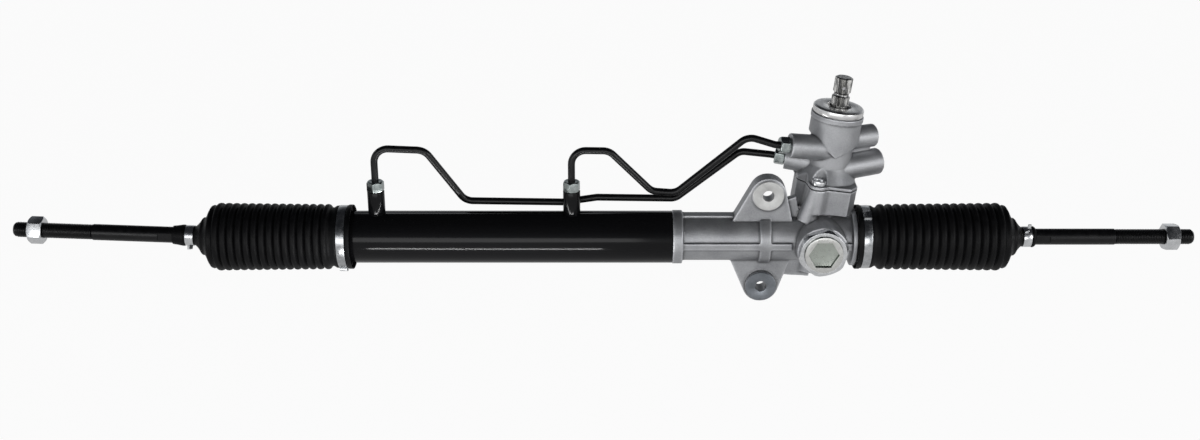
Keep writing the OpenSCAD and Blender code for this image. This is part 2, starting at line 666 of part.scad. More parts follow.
module rack_bar() color([0.6, 0.61, 0.63]) on_rack() difference() {
    x_rod(rack_mid_x - rack_half, rack_mid_x + rack_half, rack_r);
    translate([pinion_x - tooth_gaps / 2 * pitch_x - 2, rack_tip_y, -rack_r - 1])
        cube([tooth_gaps * pitch_x + 4, rack_r, 2 * rack_r + 2]);
    for (i = [0:tooth_gaps - 1])
        translate([pinion_x + (i - (tooth_gaps - 1) / 2) * pitch_x, 0, 0])
            rotate([0, tower_lean, 0]) rack_gap();
    for (s = [-1, 1]) translate([rack_mid_x + s * (rack_half - 9), 0, 0])
        x_rod(-9.5, 9.5, 8);
    for (s = [-1, 1]) x_ring(piston_x + s * (piston_w / 2 + 1.1) - 0.8,
                             piston_x + s * (piston_w / 2 + 1.1) + 0.8, rack_r + 2, rack_r - 1.2);
}

module piston() color([0.45, 0.46, 0.48]) on_rack() difference() {
    x_ring(piston_x - piston_w / 2, piston_x + piston_w / 2, bore_r - 0.1, rack_r + 0.02);
    x_ring(piston_x - 2.6, piston_x + 2.6, bore_r + 1, bore_r - 2.4);
}

module piston_ring() color([0.15, 0.1, 0.08]) on_rack()
    x_ring(piston_x - 2.5, piston_x + 2.5, bore_r - 0.03, bore_r - 2.3);

module piston_clips() color([0.4, 0.4, 0.42]) on_rack() for (s = [-1, 1])
    x_ring(piston_x + s * (piston_w / 2 + 1.1) - 0.7, piston_x + s * (piston_w / 2 + 1.1) + 0.7,
           rack_r + 1.8, rack_r - 1.1);

module inner_rack_seal() color([0.13, 0.13, 0.13]) on_rack()
    x_ring(spigot_x0 + 0.3, spigot_x0 + seal_w - 0.1, seal_r - 0.02, rack_r + 0.04);

module rack_end_bush() color([0.55, 0.56, 0.58]) on_rack() difference() {
    x_rod(tube_x0 + 4, tube_x0 + 24, bore_r - 0.04);
    x_rod(tube_x0, tube_x0 + 30, rack_r + 0.05);
    x_ring(tube_x0 + 12, tube_x0 + 15, bore_r + 1, bore_r - 1.8);
}

module outer_rack_seal() color([0.13, 0.13, 0.13]) on_rack()
    x_ring(tube_x0 + 24.2, tube_x0 + 31, bore_r - 0.03, rack_r + 0.04);

module end_bush_clip() color([0.5, 0.5, 0.52]) on_rack()
    x_ring(tube_x0 + 2.2, tube_x0 + 3.9, bore_r - 0.04, bore_r - 4.5);

// Yoke that holds the rack against the pinion
module on_yoke() on_rack() translate([pinion_x, 0, 0]) children();

module rack_yoke() color([0.6, 0.6, 0.62]) on_yoke() difference() {
    y_rod(plug_back + 0.25, -6, yoke_r);
    x_rod(-yoke_r - 1, yoke_r + 1, rack_r + liner_t + 0.05);
    y_rod(plug_back - 1, plug_back + spring_in_yoke, spring_room_r);
    difference() {
        y_rod(plug_back + 2.4, plug_back + 4.6, yoke_r + 1);
        y_rod(plug_back + 2, plug_back + 5, yoke_r - 1.95);
    }
}

module yoke_liner() color([0.75, 0.7, 0.55]) on_yoke() intersection() {
    x_ring(-yoke_r, yoke_r, rack_r + liner_t, rack_r + 0.03);
    y_rod(-rack_r - 2, -7, yoke_r - 1.5);
}

module yoke_ring() color([0.1, 0.1, 0.1]) on_yoke() translate([0, plug_back + 3.5, 0])
    rotate([90, 0, 0]) rotate_extrude() translate([yoke_r - 0.95, 0]) circle(0.95);

// A stack of four disc springs, in pairs that face each other
disc_t = 1.2;
disc_h = 2.5;
disc_in_r = 4.6;
disc_out_r = spring_room_r - 0.3;

module yoke_spring() color([0.35, 0.35, 0.38]) on_yoke() for (i = [0:3])
    translate([0, plug_back - spring_sink + 0.02 + i * (disc_h + 0.04), 0]) rotate([-90, 0, 0])
        rotate_extrude() polygon(i % 2 == 0
            ? [[disc_out_r, 0], [disc_out_r, disc_t], [disc_in_r, disc_h], [disc_in_r, disc_h - disc_t]]
            : [[disc_out_r, disc_h], [disc_out_r, disc_h - disc_t], [disc_in_r, 0], [disc_in_r, disc_t]]);

module yoke_plug() color([0.75, 0.76, 0.78]) on_yoke() difference() {
    y_rod(plug_front, plug_back, plug_r);
    translate([0, plug_front - 0.5, 0]) rotate([-90, 0, 0]) hex_bar(5.5, 24);
    y_rod(plug_back - spring_sink, plug_back + 1, spring_room_r);
}

module yoke_lock_nut() color([0.8, 0.8, 0.82]) on_yoke() difference() {
    translate([0, yoke_boss_front - seat_gap, 0]) rotate([90, 0, 0]) intersection() {
        rotate(18) hex_bar(yoke_nut_w, 2 * yoke_boss_r - 4.6);
        rotate_extrude() polygon([[0, 0], [yoke_boss_r - 0.3, 0], [yoke_boss_r - 0.3, yoke_nut_w - 2.6],
            [yoke_boss_r - 2.4, yoke_nut_w], [0, yoke_nut_w]]);
    }
    y_rod(yoke_boss_front - 8, yoke_boss_front + 1, plug_r + run_fit);
}

// Inner joints and tie rods, drawn from the ball centre towards +X
thread_pitch = 1.5;
seat_r = ball_r + 2.5;
socket_r = seat_r + 3.5;
mouth = 61;                      // half angle of the socket's mouth
seat_mouth = 55;                 // half angle of the seat's mouth

module ball(r) rotate([0, 90, 0]) sphere(r = r);

module mouth_cone(angle, reach) rotate([0, 90, 0])
    cylinder(h = reach, r1 = 0, r2 = reach * tan(angle));

module ball_socket() difference() {
    union() {
        x_rod(-socket_back, 8.6, socket_r);
        x_rod(-socket_back - washer_t - 15, -socket_back + 1, 8 - run_fit);
    }
    ball(seat_r + 0.04);
    mouth_cone(mouth, 12);
    for (s = [-1, 1]) translate([-socket_back + 2, s * (socket_r - 1.6) - 5, -20]) cube([9, 10, 40]);
}

module ball_seat() difference() {
    ball(seat_r);
    ball(ball_r + 0.04);
    mouth_cone(seat_mouth, 18);
}

module tie_rod() difference() {
    union() {
        ball(ball_r);
        x_rod(0, 20, 6.4);
        translate([19.9, 0, 0]) rotate([0, 90, 0]) cylinder(h = 3.2, r1 = 6.4, r2 = rod_d / 2);
        x_rod(23, rod_len - thread_len, rod_d / 2);
        x_rod(rod_len - thread_len - 1, rod_len - 1.5, thread_d / 2);
        translate([rod_len - 1.51, 0, 0]) rotate([0, 90, 0])
            cylinder(h = 1.51, r1 = thread_d / 2, r2 = thread_d / 2 - 1.2);
    }
    // one root of the thread, at the lock nut's outer face
    x_ring(rod_len - nut_setback, rod_len - nut_setback + thread_pitch, thread_d, thread_d / 2 - 0.9);
    // flats for a spanner beside the bellows
    for (s = [-1, 1]) translate([cuff_left[0] + 16, s * (rod_d / 2 + 4.1) - 5, -10])
        cube([13, 10, 20]);
}

module lock_nut() translate([rod_len - nut_setback - 13, 0, 0]) rotate([0, 90, 0]) rotate(20)
    difference() {
        intersection() {
            hex_bar(13, 22);
            rotate_extrude() polygon([[0, 0], [10.9, 0], [12.9, 1.4], [12.9, 11.6], [10.9, 13], [0, 13]]);
        }
        translate([0, 0, -1]) cylinder(h = 15, r = thread_d / 2 + run_fit);
    }

module lock_washer() x_ring(-socket_back - washer_t + 0.05, -socket_back - 0.05, socket_r - 1, 8.1);

// Rubber bellows; x = 0 is the ball centre and the large cuff is at negative x
large_x = -(rack_travel + stop_gap + socket_back);     // the casing's end
cuff_x0 = large_x - cuff_len + 0.6;
fold_x0 = large_x + 1.5;
bellows_r = bellows_d / 2;
taper = 1.2;                     // how much wider the folds are at the small end

function fold_x1(cuff) = cuff[0] - clamp_w / 2 - cone_len;

function fold_line(cuff, inset) = [for (i = [0:folds - 1])
    let (pitch = (fold_x1(cuff) - fold_x0) / folds, x = fold_x0 + i * pitch,
        r = bellows_r - inset - taper * (1 - i / (folds - 1)))
    each [
        [r - fold_depth, x],
        [r, x + pitch * (inset > 0 ? 0.28 : 0.2)],
        [r, x + pitch * (inset > 0 ? 0.62 : 0.7)],
        [r - fold_depth, x + pitch * 0.9]]];

function bellows_outer(cuff) = concat(
    [[large_seat_r + 1.2, cuff_x0], [large_seat_r + 1.2, cuff_x0 + 4],
     [large_seat_r, cuff_x0 + 4.4], [large_seat_r, cuff_x0 + 12.4],
     [large_seat_r + 0.4, cuff_x0 + 12.8], [large_seat_r - 1, fold_x0 - 1]],
    fold_line(cuff, 0),
    [[bellows_r - 2.4, fold_x1(cuff) + 2], [bellows_r - 13.4, fold_x1(cuff) + 9],
     [bellows_r - 13.4, fold_x1(cuff) + 12.5]]);

function bellows_inner(cuff) = concat(
    [[tube_r + 0.1, cuff_x0], [tube_r + 0.1, large_x - 1], [bellows_r - fold_depth - rubber_t, fold_x0 - 1]],
    fold_line(cuff, rubber_t),
    [[bellows_r - 2.8 - rubber_t, fold_x1(cuff) + 1.4], [bellows_r - 17.2, fold_x1(cuff) + 9],
     [bellows_r - 17.2, fold_x1(cuff) + 12.5]]);

function turned_back(list) = [for (i = [len(list) - 1:-1:0]) list[i]];

module bellows_body(cuff) turned_x(concat(bellows_outer(cuff), turned_back(bellows_inner(cuff))));

module bellows_nose(cuff) {
    x0 = fold_x1(cuff) + 10.8;
    seat_x0 = cuff[0] - clamp_w / 2 - 0.4;
    seat_x1 = cuff[0] + clamp_w / 2 + 0.4;
    lip_x1 = seat_x1 - 0.4 + cuff[1];
    turned_x([
        [bellows_r - 14.7, x0], [bellows_r - 14.7, x0 + 2.4], [cuff_small_r, seat_x0 - 0.6],
        [cuff_small_r, seat_x1], [lip_r, seat_x1 + 0.4], [lip_r, seat_x1 + 3], [rod_d / 2 + 1, lip_x1],
        [rod_d / 2 + 0.06, lip_x1], [rod_d / 2 + 0.06, seat_x0 - 3],
        [bellows_r - 15.9, x0 + 2.4], [bellows_r - 15.9, x0]]);
}

// Clamps
module large_clamp() {
    r = large_seat_r + 0.08;
    x0 = cuff_x0 + 4.7;
    x_ring(x0, x0 + clamp_w, r + clamp_t, r);
    rotate([-62, 0, 0]) translate([x0 + 0.3, -r - 3.2, -4]) difference() {
        cube([clamp_w - 0.6, 2.9, 8]);
        translate([-1, 0.8, 1.4]) cube([clamp_w + 2, 3, 5.2]);
    }
}

module small_clamp(cuff) {
    r = cuff_small_r + 0.06;
    x0 = cuff[0] - clamp_w / 2;
    x_ring(x0, x0 + clamp_w, r + 0.7, r);
    for (s = [-1, 1]) rotate([-62 + s * 16, 0, 0])
        translate([x0 + (s > 0 ? 0.4 : clamp_w / 2 + 0.2), -r - 4.6, -0.5]) cube([clamp_w / 2 - 0.6, 4.2, 1]);
}

// Fluid pipes, routed in the rack's frame
nut_stand = nut_grip + 0.2;
pipe_over = 46;                  // length of the left pipe's upper run
pipe_back = 14;                  // how far the pipes run behind the rack's centreline
pipe_start_z = boss_top_z - 8;
low_port_corner = port_point(cyl_port_low, cyl_port_low[3] + nut_stand + 32) - [0, 0, 2];
up_port_corner = port_point(cyl_port_up, cyl_port_up[3] + nut_stand + 29) + [0, 3, 5];
left_pipe_corners = [
    [port_left_x, 0, pipe_start_z], [port_left_x, 0, pipe_top_z + 2],
    [port_left_x + pipe_over, 0, pipe_top_z], [port_left_x + pipe_over + 34, 13, tube_r + 6.5],
    [port_right_x - 8, pipe_back, tube_r + 4.8], [port_right_x + 23, pipe_back, tube_r + 9.5],
    [collar_x0 + 3, pipe_back, tube_r + 8.5], low_port_corner,
    port_point(cyl_port_low, cyl_port_low[3] + nut_stand + 4), port_point(cyl_port_low, cyl_port_low[3] - 7)];
right_pipe_corners = [
    [port_right_x, 0, pipe_start_z], [port_right_x, 0, pipe_top_z],
    [port_right_x + pipe_over - 12, 0, pipe_top_z - 0.5], [port_right_x + pipe_over + 27, 5, tube_r + 19],
    [collar_x0 + 3, 6, tube_r + 17], up_port_corner,
    port_point(cyl_port_up, cyl_port_up[3] + nut_stand + 4), port_point(cyl_port_up, cyl_port_up[3] - 7)];

module pipe(corners) color([0.04, 0.04, 0.04]) on_rack()
    swept(route(corners, pipe_bend_r), pipe_d / 2, pipe_wall);

module pipe_left() pipe(left_pipe_corners);

module pipe_right() pipe(right_pipe_corners);

// A union nut, with its face at z = 0 and its thread below
module pipe_nut() difference() {
    union() {
        translate([0, 0, 0.1]) intersection() {
            hex_bar(nut_grip, nut_af);
            rotate_extrude() polygon([[0, 0], [nut_af / 2 - 0.2, 0], [nut_af / 2 + 1.2, 1.2],
                [nut_af / 2 + 1.2, nut_grip - 1.4], [nut_af / 2 - 0.4, nut_grip], [0, nut_grip]]);
        }
        translate([0, 0, -9]) cylinder(h = 9.5, r = nut_thread_r - run_fit);
    }
    translate([0, 0, -10]) cylinder(h = nut_grip + 12, r = pipe_d / 2 + 0.1);
}

module cylinder_pipe_nuts() color([0.7, 0.7, 0.7]) on_rack()
    for (x = [port_left_x, port_right_x]) translate([x, 0, boss_top_z]) rotate(20) pipe_nut();

module valve_pipe_nuts() color([0.6, 0.61, 0.6]) on_tower()
    for (p = [cyl_port_up, cyl_port_low]) on_port(p) translate([0, 0, p[3]]) pipe_nut();

gear_housing();
cylinder_tube();
port_boss_left();
port_boss_right();
valve_body();
valve_body_bolts();
valve_body_gasket();
valve_cover();
input_shaft();
input_shaft_seal();
input_shaft_bearing();
torsion_bar();
torsion_bar_pin();
valve_sleeve();
sleeve_rings();
pinion();
pinion_bearing_outer();
pinion_bearing_balls();
pinion_bearing_inner();
pinion_seal();
pinion_lower_bush();
pinion_nut();
pinion_end_cap();
rack_bar();
piston();
piston_ring();
piston_clips();
inner_rack_seal();
rack_end_bush();
outer_rack_seal();
end_bush_clip();
rack_yoke();
yoke_liner();
yoke_ring();
yoke_spring();
yoke_plug();
yoke_lock_nut();
color([0.5, 0.5, 0.52]) on_left_socket() ball_socket();  // ball_socket_left
color([0.5, 0.5, 0.52]) on_right_rod() ball_socket();  // ball_socket_right
color([0.8, 0.8, 0.75]) on_left_socket() ball_seat();  // ball_seat_left
color([0.8, 0.8, 0.75]) on_right_rod() ball_seat();  // ball_seat_right
color([0.6, 0.6, 0.6]) on_left_socket() lock_washer();  // lock_washer_left
color([0.6, 0.6, 0.6]) on_right_rod() lock_washer();  // lock_washer_right
color([0.06, 0.06, 0.07]) on_left_rod() tie_rod();  // tie_rod_left
color([0.06, 0.06, 0.07]) on_right_rod() tie_rod();  // tie_rod_right
color([0.78, 0.79, 0.8]) on_left_rod() lock_nut();  // lock_nut_left
color([0.78, 0.79, 0.8]) on_right_rod() lock_nut();  // lock_nut_right
color([0.05, 0.05, 0.05]) {  // bellows_left
    on_left_socket() bellows_body(cuff_left);
    on_left_rod() bellows_nose(cuff_left);
}
color([0.05, 0.05, 0.05]) on_right_rod() {  // bellows_right
    bellows_body(cuff_right);
    bellows_nose(cuff_right);
}
color([0.7, 0.7, 0.7]) on_left_socket() large_clamp();  // large_clamp_left
color([0.7, 0.7, 0.7]) on_right_rod() large_clamp();  // large_clamp_right
color([0.75, 0.75, 0.75]) on_left_rod()  // small_clamp_left
    small_clamp(cuff_left);
color([0.75, 0.75, 0.75]) on_right_rod()  // small_clamp_right
    small_clamp(cuff_right);
pipe_left();
pipe_right();
cylinder_pipe_nuts();
valve_pipe_nuts();
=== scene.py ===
import bpy
import json
import math
from mathutils import Matrix, Vector


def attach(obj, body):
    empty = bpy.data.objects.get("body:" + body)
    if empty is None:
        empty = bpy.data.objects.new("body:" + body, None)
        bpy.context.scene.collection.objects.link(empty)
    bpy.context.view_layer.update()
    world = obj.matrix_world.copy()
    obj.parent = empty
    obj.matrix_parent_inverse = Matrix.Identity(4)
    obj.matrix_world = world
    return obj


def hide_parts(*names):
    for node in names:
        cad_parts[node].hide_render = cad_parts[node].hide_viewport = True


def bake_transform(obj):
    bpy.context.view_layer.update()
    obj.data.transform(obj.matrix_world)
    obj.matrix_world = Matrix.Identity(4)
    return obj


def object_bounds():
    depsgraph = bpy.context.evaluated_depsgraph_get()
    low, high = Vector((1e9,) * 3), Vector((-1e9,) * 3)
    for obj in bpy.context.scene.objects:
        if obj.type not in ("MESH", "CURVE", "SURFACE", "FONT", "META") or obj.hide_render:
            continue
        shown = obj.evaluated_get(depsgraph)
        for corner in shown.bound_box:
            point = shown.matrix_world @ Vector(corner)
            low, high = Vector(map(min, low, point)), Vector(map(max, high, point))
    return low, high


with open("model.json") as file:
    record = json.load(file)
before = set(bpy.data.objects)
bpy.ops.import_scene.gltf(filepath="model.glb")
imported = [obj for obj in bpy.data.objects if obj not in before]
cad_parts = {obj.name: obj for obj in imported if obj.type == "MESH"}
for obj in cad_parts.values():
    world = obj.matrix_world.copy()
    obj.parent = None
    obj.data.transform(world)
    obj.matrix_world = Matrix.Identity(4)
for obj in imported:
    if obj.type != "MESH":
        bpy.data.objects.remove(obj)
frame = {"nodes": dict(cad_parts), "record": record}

cadBox = [list(corner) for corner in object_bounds()]
print("frame loaded, nodes:", len(frame["nodes"]))

# places that many pieces share, in metres
rackLineY = -0.005
ballLeft = Vector((-0.4945, rackLineY, 0))
ballRight = Vector((0.2015, rackLineY, 0))
leftRodLift = math.radians(2.2)

leftSocketPlace = Matrix.Translation(ballLeft) @ Matrix.Rotation(math.pi, 4, "Y")
leftRodPlace = Matrix.Translation(ballLeft) @ Matrix.Rotation(math.pi + leftRodLift, 4, "Y")
rightPlace = Matrix.Translation(ballRight)


# camera: level with the photograph's view, a little above the gear
cameraSetup = {"aim": (-0.1502, rackLineY, 0.0165), "distance": 1.350, "elevation": 22, "lens": 44.22}

def placeCamera(setup):
    tilt = math.radians(setup["elevation"])
    aim = Vector(setup["aim"])
    back = Vector((0, -math.cos(tilt), math.sin(tilt)))
    bpy.ops.object.camera_add(location=aim + back * setup["distance"],
                              rotation=(math.pi / 2 - tilt, 0, 0))
    camera = bpy.context.object
    camera.name = "photoCamera"
    camera.data.lens = setup["lens"]
    camera.data.sensor_width = 36
    bpy.context.scene.camera = camera

placeCamera(cameraSetup)
bpy.context.scene.view_settings.view_transform = "Standard"


# lamps: a broad low front light, a weaker one from the right and a strip lying in front of the tube
lamps = [
    {"name": "frontSoftbox", "watts": 12, "size": (2.0, 0.7), "place": (-0.45, -1.60, 0.10), "aim": (-0.10, 0, 0)},
    {"name": "rightSoftbox", "watts": 7, "size": (0.8, 0.6), "place": (1.25, -1.0, 0.35), "aim": (0.05, 0, 0.03)},
    {"name": "lowStrip", "watts": 0.30, "size": (0.27, 0.005), "place": (-0.265, -0.102, -0.052),
     "aim": (-0.265, -0.102, 1)},
]

def addLamps():
    for lamp in lamps:
        place, aim = Vector(lamp["place"]), Vector(lamp["aim"])
        bpy.ops.object.light_add(type="AREA", location=place)
        light = bpy.context.object
        light.name = lamp["name"]
        light.rotation_euler = (aim - place).to_track_quat("-Z", "Y").to_euler()
        light.data.shape = "RECTANGLE"
        light.data.size, light.data.size_y = lamp["size"]
        light.data.energy = lamp["watts"]
        light.visible_camera = False

addLamps()


# helpers for materials
def startMaterial(name):
    material = bpy.data.materials.new(name)
    material.use_nodes = True
    tree = material.node_tree
    shader = tree.nodes["Principled BSDF"]
    place = tree.nodes.new("ShaderNodeTexCoord")
    return material, tree, shader, place.outputs["Object"]

def addNoise(tree, place, scale, detail=4, roughness=0.5, stretch=None):
    if stretch:
        mapping = tree.nodes.new("ShaderNodeMapping")
        mapping.inputs["Scale"].default_value = stretch
        tree.links.new(place, mapping.inputs["Vector"])
        place = mapping.outputs["Vector"]
    noise = tree.nodes.new("ShaderNodeTexNoise")
    noise.inputs["Scale"].default_value = scale
    noise.inputs["Detail"].default_value = detail
    noise.inputs["Roughness"].default_value = roughness
    tree.links.new(place, noise.inputs["Vector"])
    return noise.outputs["Fac"]

def addRamp(tree, value, stops):
    ramp = tree.nodes.new("ShaderNodeValToRGB")
    elements = ramp.color_ramp.elements
    for element, (position, colour) in ((elements[0], stops[0]), (elements[1], stops[-1])):
        element.position = position
        element.color = (*colour, 1)
    for position, colour in stops[1:-1]:
        elements.new(position).color = (*colour, 1)
    tree.links.new(value, ramp.inputs["Fac"])
    return ramp.outputs["Color"]

def addRange(tree, value, low, high, fromLow=0.3, fromHigh=0.7):
    spread = tree.nodes.new("ShaderNodeMapRange")
    spread.inputs["From Min"].default_value = fromLow
    spread.inputs["From Max"].default_value = fromHigh
    spread.inputs["To Min"].default_value = low
    spread.inputs["To Max"].default_value = high
    tree.links.new(value, spread.inputs["Value"])
    return spread.outputs["Result"]

def addMath(tree, operation, first, second):
    node = tree.nodes.new("ShaderNodeMath")
    node.operation = operation
    for socket, value in zip(node.inputs, (first, second)):
        if isinstance(value, (int, float)):
            socket.default_value = value
        else:
            tree.links.new(value, socket)
    return node.outputs["Value"]

def addBump(tree, shader, height, strength, distance):
    bump = tree.nodes.new("ShaderNodeBump")
    bump.inputs["Strength"].default_value = strength
    bump.inputs["Distance"].default_value = distance
    tree.links.new(height, bump.inputs["Height"])
    tree.links.new(bump.outputs["Normal"], shader.inputs["Normal"])

# painted shade darkens the inner corners and a painted highlight lightens the outer edges, by pointiness
def paintCornerShadeEdgeHighlight(tree, colour, corner, edge):
    pointiness = tree.nodes.new("ShaderNodeNewGeometry").outputs["Pointiness"]
    mix = tree.nodes.new("ShaderNodeMix")
    mix.data_type = "RGBA"
    mix.blend_type = "MULTIPLY"
    mix.inputs["Factor"].default_value = 1
    tree.links.new(colour, mix.inputs["A"])
    tree.links.new(addRange(tree, pointiness, corner, edge, 0.47, 0.54), mix.inputs["B"])
    return mix.outputs["Result"]


# cast aluminium: soft grey skin with fine sand grain, with a painted highlight on its edges and painted shade in
# its corners
castFinish = {"dark": (0.34, 0.345, 0.36), "light": (0.55, 0.555, 0.57), "corner": 0.45, "edge": 1.25,
              "grain": 1100, "pits": 420, "patches": 38, "grainShare": 0.35, "pitDepth": 1.6, "metallic": 0.82}

def makeCastAluminium():
    material, tree, shader, place = startMaterial("castAluminium")
    patches = addNoise(tree, place, castFinish["patches"], 5)
    grain = addNoise(tree, place, castFinish["grain"], 3, 0.6)
    pits = addNoise(tree, place, castFinish["pits"], 2, 0.5)
    fineTone = addMath(tree, "MULTIPLY", grain, castFinish["grainShare"])
    broadTone = addMath(tree, "MULTIPLY", patches, 1 - castFinish["grainShare"])
    tone = addMath(tree, "ADD", fineTone, broadTone)
    colour = addRamp(tree, tone, [(0.34, castFinish["dark"]), (0.62, castFinish["light"])])
    # painted shade in the corners (corner) and a painted highlight on the edges (edge)
    colour = paintCornerShadeEdgeHighlight(tree, colour, castFinish["corner"], castFinish["edge"])
    tree.links.new(colour, shader.inputs["Base Color"])
    shader.inputs["Metallic"].default_value = castFinish["metallic"]
    tree.links.new(addRange(tree, patches, 0.42, 0.56), shader.inputs["Roughness"])
    height = addMath(tree, "ADD", grain, addMath(tree, "MULTIPLY", pits, castFinish["pitDepth"]))
    addBump(tree, shader, height, 0.32, 0.00025)
    return material

# machined aluminium: brighter, with fine lines left by the tool
def makeMachinedAluminium():
    material, tree, shader, place = startMaterial("machinedAluminium")
    lines = addNoise(tree, place, 60, 2, 0.4, (1, 1, 60))
    stains = addNoise(tree, place, 90, 4)
    colour = addRamp(tree, stains, [(0.35, (0.60, 0.595, 0.59)), (0.6, (0.76, 0.755, 0.75))])
    tree.links.new(colour, shader.inputs["Base Color"])
    shader.inputs["Metallic"].default_value = 1
    tree.links.new(addRange(tree, lines, 0.24, 0.36), shader.inputs["Roughness"])
    addBump(tree, shader, lines, 0.15, 0.0001)
    return material

# gloss black paint on the tube: deep, with a trace of orange peel and dust
def makeBlackPaint():
    material, tree, shader, place = startMaterial("glossBlackPaint")
    peel = addNoise(tree, place, 260, 2, 0.4)
    dust = addNoise(tree, place, 900, 4, 0.7)
    colour = addRamp(tree, dust, [(0.55, (0.0050, 0.0050, 0.0055)), (0.75, (0.0066, 0.0066, 0.0073))])
    tree.links.new(colour, shader.inputs["Base Color"])
    tree.links.new(addRange(tree, dust, 0.10, 0.16), shader.inputs["Roughness"])
    shader.inputs["Specular IOR Level"].default_value = 0.15
    addBump(tree, shader, peel, 0.06, 0.0002)
    return material

# satin black on rods and pipes, a little cloudy
def makeSatinBlack():
    material, tree, shader, place = startMaterial("satinBlack")
    cloud = addNoise(tree, place, 160, 5)
    grain = addNoise(tree, place, 1600, 2)
    colour = addRamp(tree, cloud, [(0.4, (0.0022, 0.0022, 0.0026)), (0.7, (0.0042, 0.0042, 0.0048))])
    tree.links.new(colour, shader.inputs["Base Color"])
    tree.links.new(addRange(tree, cloud, 0.26, 0.40), shader.inputs["Roughness"])
    shader.inputs["Specular IOR Level"].default_value = 0.30
    addBump(tree, shader, grain, 0.12, 0.0001)
    return material

# zinc plating: bright, cool and slightly mottled
def makeZinc(name, dark, light):
    material, tree, shader, place = startMaterial(name)
    mottle = addNoise(tree, place, 210, 4, 0.5)
    fine = addNoise(tree, place, 2200, 2)
    colour = addRamp(tree, mottle, [(0.30, dark), (0.70, light)])
    tree.links.new(colour, shader.inputs["Base Color"])
    shader.inputs["Metallic"].default_value = 1
    tree.links.new(addRange(tree, mottle, 0.20, 0.30), shader.inputs["Roughness"])
    addBump(tree, shader, fine, 0.15, 0.0001)
    return material

# plain metals, clouded by oil
def makeSteel(name, dark, light, roughness, scale=240):
    material, tree, shader, place = startMaterial(name)
    oil = addNoise(tree, place, scale, 5, 0.6)
    fine = addNoise(tree, place, 1800, 3)
    tree.links.new(addRamp(tree, oil, [(0.36, dark), (0.64, light)]), shader.inputs["Base Color"])
    shader.inputs["Metallic"].default_value = 1
    tree.links.new(addRange(tree, oil, roughness[0], roughness[1]), shader.inputs["Roughness"])
    addBump(tree, shader, fine, 0.12, 0.0001)
    return material

# matt rubber with a trace of dust
def makeRubber(name, dark, light, roughness):
    material, tree, shader, place = startMaterial(name)
    dust = addNoise(tree, place, 140, 6, 0.65)
    skin = addNoise(tree, place, 1500, 3)
    tree.links.new(addRamp(tree, dust, [(0.4, dark), (0.72, light)]), shader.inputs["Base Color"])
    tree.links.new(addRange(tree, dust, roughness[0], roughness[1]), shader.inputs["Roughness"])
    shader.inputs["Specular IOR Level"].default_value = 0.15
    addBump(tree, shader, skin, 0.2, 0.0001)
    return material

# spline: streaks along its teeth, from dark through grey to bright
def makeSplineSteel():
    material, tree, shader, place = startMaterial("splineSteel")
    streaks = addNoise(tree, place, 700, 3, 0.6, (1, 1, 0.06))
    colour = addRamp(tree, streaks, [(0.42, (0.10, 0.10, 0.10)), (0.50, (0.26, 0.26, 0.255)),
                                     (0.60, (0.56, 0.555, 0.54))])
    tree.links.new(colour, shader.inputs["Base Color"])
    shader.inputs["Metallic"].default_value = 1
    tree.links.new(addRange(tree, streaks, 0.38, 0.24), shader.inputs["Roughness"])
    addBump(tree, shader, streaks, 0.2, 0.0001)
    return material

# yoke plug: bright rim, painted shade on the walls of its recess and a dull floor
plugFinish = {"floorY": -0.0443, "rimY": -0.0493, "smear": 0.05, "floor": (0.44, 0.47, 0.43),
              "wall": (0.10, 0.11, 0.10), "rim": (0.66, 0.66, 0.64)}

def makePlugSteel():
    material, tree, shader, place = startMaterial("plugSteelPaintedShade")
    axes = tree.nodes.new("ShaderNodeSeparateXYZ")
    tree.links.new(place, axes.inputs["Vector"])
    oil = addNoise(tree, place, 260, 4)
    depth = addRange(tree, axes.outputs["Y"], 0, 1, plugFinish["floorY"], plugFinish["rimY"])
    depth = addMath(tree, "ADD", depth, addRange(tree, oil, -plugFinish["smear"], plugFinish["smear"]))
    # the wall colour is painted shade inside the recess
    colour = addRamp(tree, depth, [(0.08, plugFinish["floor"]), (0.16, plugFinish["wall"]),
                                   (0.72, plugFinish["wall"]), (0.90, plugFinish["rim"])])
    tree.links.new(colour, shader.inputs["Base Color"])
    shader.inputs["Metallic"].default_value = 1
    tree.links.new(addRange(tree, oil, 0.22, 0.38), shader.inputs["Roughness"])
    addBump(tree, shader, oil, 0.12, 0.0001)
    return material

# plastics of the ball seats and the sleeve rings
def makePlastic(name, dark, light):
    material, tree, shader, place = startMaterial(name)
    tone = addNoise(tree, place, 200, 4)
    tree.links.new(addRamp(tree, tone, [(0.4, dark), (0.65, light)]), shader.inputs["Base Color"])
    tree.links.new(addRange(tree, tone, 0.4, 0.5), shader.inputs["Roughness"])
    addBump(tree, shader, tone, 0.1, 0.0001)
    return material

